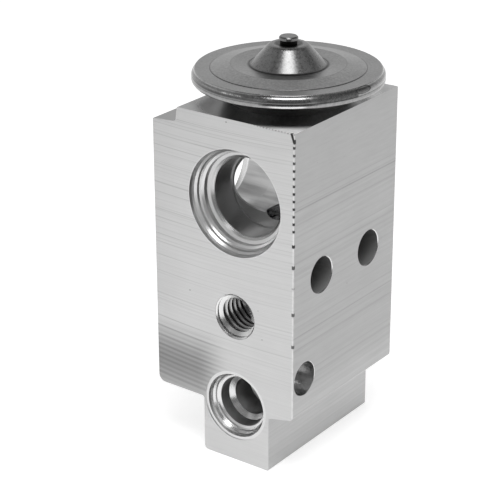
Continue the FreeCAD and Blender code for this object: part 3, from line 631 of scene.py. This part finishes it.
def block_metal(sizes):
    """One metal for the block: sawn ends, drawn skin and machined bores, told apart by their place."""
    made, tree, shader = material("bright_aluminium")
    block = BlockAreas(tree)
    x, y, z, vector = block.x, block.y, block.z, block.vector
    sawn, skin, top, clear = block.sawn, block.skin, block.top, block.clear
    lines = saw_marks(block, sizes)
    nick, burr_highlight = edge_nicks(block, sizes)
    smear = stretched_noise(vector, (0.06, 1.0, 3.2), 3.0)

    # Drawing lines along the length of the skin
    drawn = stretched_noise(vector, (1.7, 0.012, 1.7), 5.0, 0.72)
    short = stretched_noise(vector, (2.4, 0.22, 2.4), 3.0, 0.6)
    strong = lines_at(z + y * 0.004, DRAWN_LINES) * maths("ADD", block.right, block.left, clamp=True)
    strong = strong * ramp(short, 0.25, 0.6, 0.55, 1.0)
    pits = spots_at(x, z, FRONT_PITS) * fall(y, FRONT + 0.5, FRONT + 1.0)
    pits = pits + spots_at(y, z, SIDE_PITS) * block.right

    # Colour
    skin_tone = 1.0 + vary(drawn, -0.08, 0.08, smooth=False) * ramp(z, 50.0, 53.5, 1.0, 0.35)
    skin_tone = skin_tone * vary(short, 0.97, 1.03, smooth=False) * (1.0 - strong * 0.26)
    # Painted light: the skin is lighter towards the bottom
    skin_tone = skin_tone * ramp(z, 12.5, 18.5, 1.14, 1.0) * top_tone(block)
    marks = use("handling", {"Vector": vector})
    tone = mix(sawn, mix(skin, bore_tone(block), skin_tone), sawn_tone(block, smear, lines))
    tone = tone * vary(marks["Clouds"], 0.98, 1.02, smooth=False) * (1.0 - marks["Specks"] * 0.30)
    hole_edge = line(block.bolt_away, BOLT_RADIUS + 0.06, 0.10, 0.75) * fall(z - BOLT_HEIGHT, -0.5, 0.4)
    tone = tone * (1.0 - hole_edge * ramp(x, RIGHT - 0.20, RIGHT - 0.14, smooth=False))
    tone = (tone + burr_highlight * 0.28) * (1.0 - nick * 0.93) * (1.0 - pits)
    base = mix_colour(skin, tuple(sizes.port_colour), tuple(sizes.skin_colour))
    plug(shader["Base Color"], scaled(mix_colour(sawn, base, tuple(sizes.sawn_colour)), tone))

    # Metal and roughness
    plug(shader["Metallic"], 1.0 - most(block.bolt * 0.6, top * clear * 0.55, block.cove * 0.22))
    rough = mix(sawn, mix(skin, 0.24, 0.30), 0.42)
    rough = mix(top, rough, mix(clear, 0.20, 0.40))
    deep = most(block.front_bore, block.side_bore, block.bolt, block.liquid_spot, block.liquid_wall,
                block.liquid_bore)
    plug(shader["Roughness"], mix(block.cove, mix(deep, rough, 0.34), 0.29))

    # Relief
    rings = turning_rings(mix(fall(y, LAND - 0.3, LAND - 0.2), x, y), 0.35)
    height = rings * block.bored * 0.25 + drawn * skin * 0.5 - strong * 0.6
    height = height + (smear * 0.4 - lines) * sawn - (nick + pits) * 4.0
    bump(shader, height, 1.0, 0.01)
    return made


def turned_metal(name, colour, roughness, pitch=0.25, strength=0.4):
    """Metal with turning rings and light handling marks."""
    made, tree, shader = material(name, Metallic=1.0)
    vector = millimetres(tree)
    rings = turning_rings(parts(vector)[2], pitch)
    clouds = use("handling", {"Vector": vector})["Clouds"]
    plug(shader["Base Color"], scaled(colour, vary(rings, 0.94, 1.05) * vary(clouds, 0.95, 1.04)))
    plug(shader["Roughness"], vary(clouds, roughness - 0.05, roughness + 0.05))
    bump(shader, rings, strength, 0.006)
    return made


def pressed_steel(colour):
    """Satin pressed stainless steel: fine rolling grain, painted shade in the creases, painted shade with
    soot round the plug's neck, and a smoother cone.
    """
    made, tree, shader = material("pressed_steel", Metallic=1.0)
    vector = millimetres(tree)
    x, y, z = parts(vector)
    radius = distance(x, y)
    on_top = ramp(z, PLATE_HEIGHT - 0.1, PLATE_HEIGHT + 0.1)
    grain = noise(vector, 2.6, 4.0, 0.75)
    rolled = stretched_noise(vector, (0.5, 2.6, 1.0), 3.0)
    clouds = use("handling", {"Vector": vector})["Clouds"]
    # Painted shade in the creases, and painted shade with soot on the land round the plug's neck
    creases = most(*[line(radius, *row) for row in CREASE_SHADE], ramp(radius, 2.2, 2.7, 0.93, 0.0))
    cone = fall(radius, 6.4, 6.6) * on_top
    tone = vary(grain, 0.76, 1.24) * vary(rolled, 0.97, 1.03) * vary(clouds, 0.94, 1.05)
    tone = tone * (1.0 - creases * on_top) * mix(cone, 1.0, 0.77)
    tone = tone * ramp(radius, 13.7, 14.1, 1.0, 0.93) * ramp(radius, 9.9, 10.3, 0.92, 1.0)
    plug(shader["Base Color"], scaled(colour, tone))
    plug(shader["Roughness"], mix(cone, 0.33, 0.29) + vary(grain, -0.03, 0.04))
    bump(shader, grain, 0.9, 0.006)
    return made


def weld_metal(colour):
    """Fused bead: glossy with fine ripples, matte and dark over the stretch where the weld was closed, with
    painted dark reflections and painted highlights.
    """
    made, tree, shader = material("fused_weld", Metallic=1.0)
    vector = millimetres(tree)
    x, y, z = parts(vector)
    grain = noise(vector, 2.2, 3.0, 0.6)
    fine = noise(vector, 6.0, 3.0, 0.7)
    angle = maths("ARCTAN2", y, x) * (180 / math.pi)
    upper = ramp(z, 68.72, 68.9) * fall(z, 70.2, 70.32)
    at_left = fall(angle, -78.0, -66.0)
    at_right = ramp(angle, -46.0, -36.0)
    sooty = at_right * fall(angle, -12.0, -9.5) * upper * ramp(fine, 0.35, 0.6, 0.7, 1.0)
    # The weld's end: a rounded blob with a dark outline
    blob = distance((angle - BLOB_ANGLE) / BLOB_HALF_ANGLE, (z - BLOB_HEIGHT) / BLOB_HALF_HEIGHT)
    outline = most(line(blob, 1.0, 0.25, 0.8), ramp(blob, 0.8, 1.0, 0.45, 0.0))
    # Painted dark reflections between the bead's highlights, at the front and wider at the left
    painted_reflections = lines_at(z, BEAD_DARK_REFLECTIONS) * (1.0 - most(at_left, at_right))
    painted_reflections = painted_reflections + line(z, 69.32, 0.55, 0.75) * at_left
    # Painted sparkle on a short streak of chatter at the left of the front
    painted_sparkle = ramp(angle, -99.0, -95.0) * fall(angle, -84.0, -80.0) * line(z, 69.72, 0.17)
    painted_sparkle = painted_sparkle * ramp(fine, 0.46, 0.54)
    # Painted highlight along the lower lip at the front
    painted_glint = ramp(angle, -69.0, -62.0) * fall(angle, -48.0, -43.0) * line(z, 68.45, 0.3)
    tone = vary(grain, 0.82, 1.10) * (1.0 - most(sooty * 0.74, outline, painted_reflections))
    tone = tone * (1.0 - 0.25 * upper) * ramp(z, 68.9, 69.05, 0.72, 1.0)
    plug(shader["Base Color"], scaled(colour, tone + painted_sparkle * 1.3 + painted_glint))
    plug(shader["Roughness"], mix(sooty, vary(grain, 0.14, 0.26), 0.5))
    bump(shader, grain + fine * (sooty + painted_sparkle), 0.35, 0.02)
    return made


def plug_steel():
    """Dark plug steel, with soot and painted shade at its neck."""
    made, tree, shader = material("dark_plug_steel", Metallic=1.0)
    vector = millimetres(tree)
    z = parts(vector)[2]
    grain = noise(vector, 3.0, 3.0, 0.6)
    clouds = use("handling", {"Vector": vector})["Clouds"]
    # Soot with painted shade at the neck: nearly black below it
    above_dark_neck = ramp(z, *PLUG_NECK) * vary(grain, 0.75, 1.2) * vary(clouds, 0.92, 1.06)
    plug(shader["Base Color"], mix_colour(above_dark_neck, (0.012, 0.012, 0.012), (0.20, 0.20, 0.20)))
    plug(shader["Roughness"], ramp(z, *PLUG_NECK, 0.55, 0.26))
    bump(shader, grain, 0.4, 0.01)
    return made


def seal_rubber():
    made, tree, shader = material("seal_rubber", Metallic=0.0)
    grain = noise(millimetres(tree), 4.0, 3.0)
    plug(shader["Base Color"], mix_colour(grain, (0.02, 0.02, 0.02), (0.045, 0.045, 0.045)))
    plug(shader["Roughness"], vary(grain, 0.45, 0.6))
    bump(shader, grain, 0.3, 0.01)
    return made


# Mesh helpers

def dress(node_name, made):
    """Give a CAD node its finish."""
    mesh = NODES[node_name].data
    if not mesh.materials:
        mesh.materials.append(made)
    for index in range(len(mesh.materials)):
        mesh.materials[index] = made


def link(name, data):
    """A new object in the scene."""
    item = bpy.data.objects.new(name, data)
    bpy.context.scene.collection.objects.link(item)
    return item


def piece(name, bm, made, body, smooth_angle):
    """A finished piece at the origin that moves with a body, or with none yet."""
    mesh = bpy.data.meshes.new(name)
    bm.to_mesh(mesh)
    bm.free()
    mesh.materials.append(made)
    mesh.shade_smooth()
    mesh.set_sharp_from_angle(angle=math.radians(smooth_angle))
    item = link(name, mesh)
    if body:
        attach(item, body)
    return item


def everything(bm):
    return list(bm.verts) + list(bm.edges) + list(bm.faces)


def section(bm, points):
    """A closed loop of edges through the points."""
    verts = [bm.verts.new(p) for p in points]
    return verts + [bm.edges.new((a, b)) for a, b in zip(verts, verts[1:] + verts[:1])]


def node_mesh(node_name):
    """A copy of a node's mesh with its doubled points merged."""
    bm = bmesh.new()
    bm.from_mesh(NODES[node_name].data)
    bmesh.ops.remove_doubles(bm, verts=bm.verts, dist=MERGE)
    return bm


class VALVE_OT_block(bpy.types.Operator):
    """Finish the extruded block with its sawn ends, drawn skin and machined ports"""
    bl_idname = "valve.block"
    bl_label = "Block"

    def execute(self, context):
        dress("valve_block", block_metal(context.scene.valve_block))
        return {"FINISHED"}


class VALVE_OT_clamp_thread(bpy.types.Operator):
    """Cut the thread's crests in the clamp hole"""
    bl_idname = "valve.clamp_thread"
    bl_label = "Clamp thread"

    def execute(self, context):
        size = context.scene.valve_thread
        # The first turn starts just inside the hole's chamfer
        mouth = (FRONT + 0.54) * MM
        half_root = 0.43 * size.pitch
        half_crest = 0.10 * size.pitch
        bm = bmesh.new()
        points = [(size.root_radius, mouth - half_root), (size.root_radius, mouth + half_root),
                  (size.crest_radius, mouth + half_crest), (size.crest_radius, mouth - half_crest)]
        geometry = section(bm, [(r, y, size.height) for r, y in points])
        bmesh.ops.contextual_create(bm, geom=geometry)
        count = round(size.length / size.pitch * size.steps)
        bmesh.ops.spin(bm, geom=everything(bm), cent=(0, 0, size.height), axis=(0, -1, 0),
                       dvec=(0, size.pitch / size.steps, 0), angle=math.tau * count / size.steps,
                       steps=count, use_duplicate=False)
        bmesh.ops.recalc_face_normals(bm, faces=bm.faces)
        piece("clamp_thread", bm, bpy.data.materials["bright_aluminium"], "housing", 30)
        return {"FINISHED"}


# Radius and height of the bead's section, in millimetres: upper lip, groove and lower lip
BEAD_SECTION = [
    (16.22, 70.36), (16.32, 70.33), (16.38, 70.26), (16.41, 70.16), (16.44, 70.07), (16.51, 69.99),
    (16.61, 69.91), (16.70, 69.81), (16.77, 69.70), (16.83, 69.56), (16.87, 69.40), (16.88, 69.24),
    (16.86, 69.12), (16.82, 69.02), (16.85, 68.93), (16.88, 68.80), (16.89, 68.62), (16.88, 68.46),
    (16.82, 68.29), (16.70, 68.14), (16.50, 68.04), (16.22, 68.00)]
BEAD_STEPS = 480
# Radius of the bead's hidden inner face, and heights of its foot and of the lap, in millimetres
BEAD_ROOT = 16.3
BEAD_LOW = 68.0
BEAD_RISE = 2.4
LAP_LOW = 69.2
# Half width of the lap, in radians
LAP_ANGLE = 0.055


class VALVE_OT_power_element(bpy.types.Operator):
    """Finish the covers and lay the weld bead round their rim"""
    bl_idname = "valve.power_element"
    bl_label = "Power element"

    def execute(self, context):
        look = context.scene.valve_element
        steel = pressed_steel(tuple(look.steel_colour))
        dress("upper_cover", steel)
        dress("lower_cover", steel)
        dress("charge_plug", plug_steel())
        bm = bmesh.new()
        geometry = section(bm, [(r * MM, 0, z * MM) for r, z in BEAD_SECTION])
        bmesh.ops.spin(bm, geom=geometry, cent=(0, 0, 0), axis=(0, 0, 1), angle=math.tau,
                       steps=BEAD_STEPS, use_merge=True, use_duplicate=False)
        bmesh.ops.recalc_face_normals(bm, faces=bm.faces)
        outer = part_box("weld_bead")[1].x
        for vert in bm.verts:
            self.ripple(vert.co, look, outer)
        bead = piece("rim_weld", bm, weld_metal(tuple(look.weld_colour)), "housing", 50)
        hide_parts("weld_bead")
        return {"FINISHED"}

    def ripple(self, place, look, outer):
        """Press a point of the bead in by the weld's ripples, and keep it within the CAD's radius."""
        angle = math.atan2(place.y, place.x)
        radius = math.hypot(place.x, place.y)
        height = place.z / MM
        if radius < BEAD_ROOT * MM:
            return
        lean = 0.8 * math.sin(math.pi * (height - BEAD_LOW) / BEAD_RISE)
        wave = math.sin(look.ripple_count * angle + lean * 2.0)
        slow = 0.5 + 0.5 * math.sin(3 * angle + 1.0) * math.sin(7 * angle)
        past = (angle - look.start_angle + math.pi) % math.tau - math.pi
        lap = math.exp(-((past / LAP_ANGLE) ** 2)) if height > LAP_LOW else 0.0
        drop = look.ripple_depth * (0.5 - 0.5 * wave) * (0.35 + 0.65 * slow)
        pressed = min(radius - drop * (1 - lap), outer)
        place.x *= pressed / radius
        place.y *= pressed / radius


class VALVE_OT_inner_parts(bpy.types.Operator):
    """Finish the rod, ball, springs, seals and adjusting screw"""
    bl_idname = "valve.inner_parts"
    bl_label = "Inner parts"

    def execute(self, context):
        spring_steel = turned_metal("spring_steel", (0.45, 0.45, 0.46), 0.25)
        ground = turned_metal("ground_steel", (0.58, 0.58, 0.59), 0.18, pitch=0.12, strength=0.2)
        rubber = seal_rubber()
        finishes = {
            "push_rod": ground,
            "valve_ball": turned_metal("polished_ball", (0.66, 0.66, 0.67), 0.08, pitch=2.0, strength=0.02),
            "diaphragm_pad": turned_metal("turned_aluminium", (0.62, 0.62, 0.63), 0.3),
            "ball_carrier": ground,
            "adjusting_screw": turned_metal("turned_brass", (0.66, 0.50, 0.24), 0.28),
            "damper_spring": spring_steel,
            "seal_retainer": spring_steel,
            "valve_spring": spring_steel,
            "diaphragm": spring_steel,
            "element_seal": rubber,
            "rod_seal": rubber,
            "adjuster_seal": rubber,
        }
        for name, made in finishes.items():
            dress(name, made)
        self.coil_half("coil_spring_lower", spring_steel, 1)
        self.coil_half("coil_spring_upper", spring_steel, -1)
        self.diaphragm(spring_steel)
        return {"FINISHED"}

    def coil_half(self, name, made, side):
        """Half of the valve spring, cut at its middle and closed: the lower half where side is 1, the upper
        half where it is -1.
        """
        low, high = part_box("valve_spring")
        middle = Vector((0, 0, (low.z + high.z) / 2))
        bm = node_mesh("valve_spring")
        cut = bmesh.ops.bisect_plane(bm, geom=everything(bm), plane_co=middle, plane_no=(0, 0, side),
                                     clear_outer=True)
        rim = [part for part in cut["geom_cut"] if isinstance(part, bmesh.types.BMEdge)]
        bmesh.ops.edgenet_fill(bm, edges=rim)
        bmesh.ops.recalc_face_normals(bm, faces=bm.faces)
        item = piece(name, bm, made, None, 40)
        end_coil = 0.8 * MM
        if side > 0:
            low.z + end_coil
            tuple(middle)
            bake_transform(item)
        else:
            tuple(middle)
            high.z - end_coil
            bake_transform(item)
        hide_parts("valve_spring")

    def diaphragm(self, made):
        """The diaphragm as a sheet of its own that moves with the housing, in place of the node's diaphragm.
        """
        item = piece("diaphragm_sheet", node_mesh("diaphragm"), made, "housing", 40)
        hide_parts("diaphragm")
        anchor = 69.25 * MM
        stroke = 0.5 * MM
        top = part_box("diaphragm")[1].z
        keep = max(0.2, 1 - stroke / (top - anchor))
        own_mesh(item)


# Azimuth, outer and inner half angle of the room's dark and bright sides, in degrees
DARK_SIDE = (-54, 38, 26)
BRIGHT_SIDE = (126, 55, 20)
FLOOR_HALF = 3.0
# The floor lies a little under the foot, so that the two faces don't coincide
FLOOR_DROP = 0.02 * MM
# Where the lamps point, and each lamp's name, place, size and power, in metres and watts
AIM = Vector((0, 0, 0.035))
LAMPS = (("overhead_softbox", (0.105, -0.145, 0.43), 0.20, 0.62),
         ("left_softbox", (-0.55, -0.30, 0.42), 0.60, 0.3),
         ("right_softbox", (0.60, 0.10, 0.45), 0.60, 0.3))


def towards(direction, azimuth, outer, inner):
    """1 within the inner angle of a level direction, 0 beyond the outer angle."""
    tree = direction.tree
    flat = add(tree, "ShaderNodeVectorMath", {0: direction, 1: (1, 1, 0)}, operation="MULTIPLY")
    unit = add(tree, "ShaderNodeVectorMath", {0: flat}, operation="NORMALIZE")
    aim = (math.cos(math.radians(azimuth)), math.sin(math.radians(azimuth)), 0)
    turn = add(tree, "ShaderNodeVectorMath", {0: unit, 1: aim}, output="Value", operation="DOT_PRODUCT")
    return ramp(turn, math.cos(math.radians(outer)), math.cos(math.radians(inner)))


class VALVE_OT_stage(bpy.types.Operator):
    """Set the floor, the lamps, the world and the camera"""
    bl_idname = "valve.stage"
    bl_label = "Stage"

    def execute(self, context):
        stage = context.scene.valve_stage
        self.floor()
        self.world()
        self.lamps(stage.lamp_level)
        self.camera(stage)
        context.scene.view_settings.view_transform = "Standard"
        return {"FINISHED"}

    def floor(self):
        bm = bmesh.new()
        bmesh.ops.create_grid(bm, x_segments=1, y_segments=1, size=FLOOR_HALF)
        bmesh.ops.translate(bm, verts=bm.verts, vec=(0, 0, -FLOOR_DROP))
        mesh = bpy.data.meshes.new("floor")
        bm.to_mesh(mesh)
        bm.free()
        mesh.materials.append(self.floor_paper())
        link("floor", mesh)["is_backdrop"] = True

    def floor_paper(self):
        """White paper that glows a little, with a dark card in what the metal mirrors."""
        made = bpy.data.materials.new("pale_floor")
        made.use_nodes = True
        tree = made.node_tree
        tree.nodes.clear()
        rays = node(tree, "ShaderNodeLightPath").outputs
        camera, glossy, through = [Field(rays["Is %s Ray" % kind])
                                   for kind in ("Camera", "Glossy", "Transmission")]
        paper = add(tree, "ShaderNodeBsdfDiffuse", {"Color": (0.82, 0.82, 0.82)})
        glow = add(tree, "ShaderNodeEmission", {"Color": (1, 1, 1), "Strength": 0.56})
        white = add(tree, "ShaderNodeAddShader", {0: paper, 1: glow})
        surface = add(tree, "ShaderNodeMixShader", {0: most(camera, glossy, through), 1: paper, 2: white})
        place = add(tree, "ShaderNodeTexCoord", output="Object")
        away = add(tree, "ShaderNodeVectorMath", {0: place}, output="Value", operation="LENGTH")
        dark = towards(place, *DARK_SIDE) * ramp(away, 0.16, 0.24) * glossy * 0.85
        black = add(tree, "ShaderNodeEmission", {"Color": (0, 0, 0), "Strength": 0.0})
        surface = add(tree, "ShaderNodeMixShader", {0: dark, 1: surface, 2: black})
        node(tree, "ShaderNodeOutputMaterial", {"Surface": surface})
        return made

    def world(self):
        """A white backdrop, and a grey room that the metal mirrors, with a bright and a dark side."""
        world = bpy.data.worlds.new("studio")
        bpy.context.scene.world = world
        world.use_nodes = True
        tree = world.node_tree
        tree.nodes.clear()
        direction = add(tree, "ShaderNodeTexCoord", output="Generated")
        up = parts(direction)[2]
        raised = up - towards(direction, *BRIGHT_SIDE) * 0.30
        level = ramp(raised, 0.22, 0.62, 0.70, 0.20) + ramp(up, 0.0, 0.28, 0.18, 0.0)
        level = level * (1.0 - towards(direction, *DARK_SIDE) * fall(up, 0.25, 0.5) * 0.8)
        rays = node(tree, "ShaderNodeLightPath").outputs
        level = mix(Field(rays["Is Diffuse Ray"]), level, 0.5)
        room = add(tree, "ShaderNodeBackground", {"Color": (1, 1, 1), "Strength": level})
        white = add(tree, "ShaderNodeBackground", {"Color": (1, 1, 1), "Strength": 1.0})
        surface = add(tree, "ShaderNodeMixShader", {0: Field(rays["Is Camera Ray"]), 1: room, 2: white})
        node(tree, "ShaderNodeOutputWorld", {"Surface": surface})

    def lamps(self, level):
        for name, place, size, watts in LAMPS:
            lamp = bpy.data.lights.new(name, "AREA")
            lamp.shape = "SQUARE"
            lamp.size = size
            lamp.energy = watts * level
            item = link(name, lamp)
            item.location = place
            item.rotation_euler = (AIM - Vector(place)).to_track_quat("-Z", "Y").to_euler()

    def camera(self, stage):
        azimuth, elevation, roll = stage.azimuth, stage.elevation, stage.roll
        ahead = Vector((-math.sin(azimuth) * math.cos(elevation), math.cos(azimuth) * math.cos(elevation),
                        -math.sin(elevation)))
        level = Vector((math.cos(azimuth), math.sin(azimuth), 0))
        upright = level.cross(ahead)
        right = level * math.cos(roll) + upright * math.sin(roll)
        up = upright * math.cos(roll) - level * math.sin(roll)
        data = bpy.data.cameras.new("camera")
        data.sensor_fit = "HORIZONTAL"
        data.sensor_width = 36
        data.lens = stage.lens
        data.clip_start = 0.01
        data.clip_end = 20
        item = link("camera", data)
        place = -(right * stage.across + up * stage.up + ahead * stage.away)
        turn = Matrix((right, up, -ahead)).transposed().to_4x4()
        item.matrix_world = Matrix.Translation(place) @ turn
        bpy.context.scene.camera = item


class VALVE_PT_panel(bpy.types.Panel):
    """Sizes, finishes and steps of the valve"""
    bl_idname = "VALVE_PT_panel"
    bl_label = "Expansion Valve"
    bl_space_type = "VIEW_3D"
    bl_region_type = "UI"
    bl_category = "Valve"

    def draw(self, context):
        for key, operators in (("valve_block", [VALVE_OT_block]), ("valve_thread", [VALVE_OT_clamp_thread]),
                               ("valve_element", [VALVE_OT_power_element, VALVE_OT_inner_parts]),
                               ("valve_stage", [VALVE_OT_stage])):
            box = self.layout.box()
            sizes = getattr(context.scene, key)
            for name in sizes.bl_rna.properties.keys():
                if name not in ("rna_type", "name"):
                    box.prop(sizes, name)
            for operator in operators:
                box.operator(operator.bl_idname)


GROUPS = {"valve_block": BlockFinish, "valve_thread": ClampThread, "valve_element": PowerElement,
          "valve_stage": StudioStage}
CLASSES = (*GROUPS.values(), VALVE_OT_block, VALVE_OT_clamp_thread, VALVE_OT_power_element,
           VALVE_OT_inner_parts, VALVE_OT_stage, VALVE_PT_panel)


def register():
    for item in CLASSES:
        bpy.utils.register_class(item)
    for key, kind in GROUPS.items():
        setattr(bpy.types.Scene, key, PointerProperty(type=kind))


def unregister():
    for key in GROUPS:
        delattr(bpy.types.Scene, key)
    for item in reversed(CLASSES):
        bpy.utils.unregister_class(item)


def as_lists(box):
    return [[float(value) for value in corner] for corner in box]


def main():
    register()
    build_groups()
    bpy.ops.valve.block()
    bpy.ops.valve.clamp_thread()
    bpy.ops.valve.power_element()
    bpy.ops.valve.inner_parts()
    bpy.ops.valve.stage()
    {"cad": as_lists(BOX), "visual": as_lists(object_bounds())}


if __name__ == "__main__":
    main()
